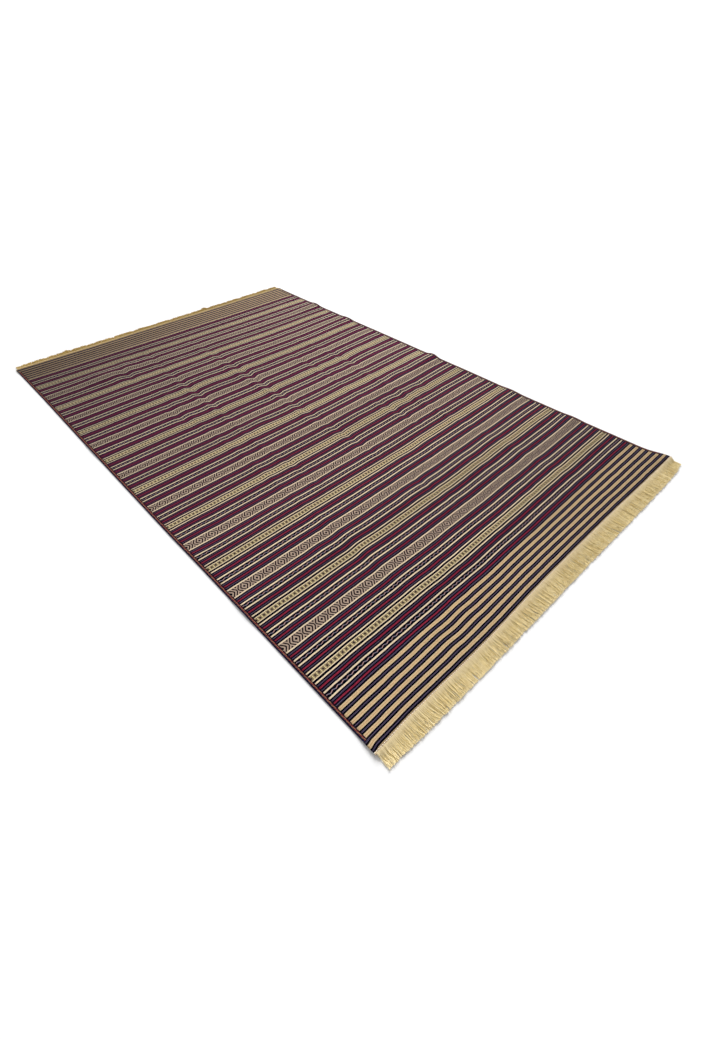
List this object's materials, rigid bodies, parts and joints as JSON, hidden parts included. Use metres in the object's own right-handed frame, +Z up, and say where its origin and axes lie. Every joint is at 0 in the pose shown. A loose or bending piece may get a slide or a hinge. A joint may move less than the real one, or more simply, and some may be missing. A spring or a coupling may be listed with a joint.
{
  "type": "flat-woven striped floor rug",
  "caption": "Large flat-woven rug with crosswise stripes, bands of small woven diamonds, overcast sides and a short yarn fringe on each end, lying flat with soft creases.",
  "frame": {"origin": "middle of the rug's box on the floor that it lies on", "axes": "+X across the width, +Y along the length towards the far fringe, +Z up"},
  "size_m": [2, 3.264, 0.016],
  "materials": {
    "striped_wool": "dry flat-woven wool in navy, dark red, cream and tan stripes",
    "navy_yarn": "matte overcast wool yarn",
    "gold_yarn": "lightly lustrous loose yarn"
  },
  "bodies": {
    "root": {"woven_cloth": "striped_wool", "side_cord_left": "navy_yarn", "side_cord_right": "navy_yarn", "fringe_near": "gold_yarn", "fringe_far": "gold_yarn"}
  },
  "joints": []
}
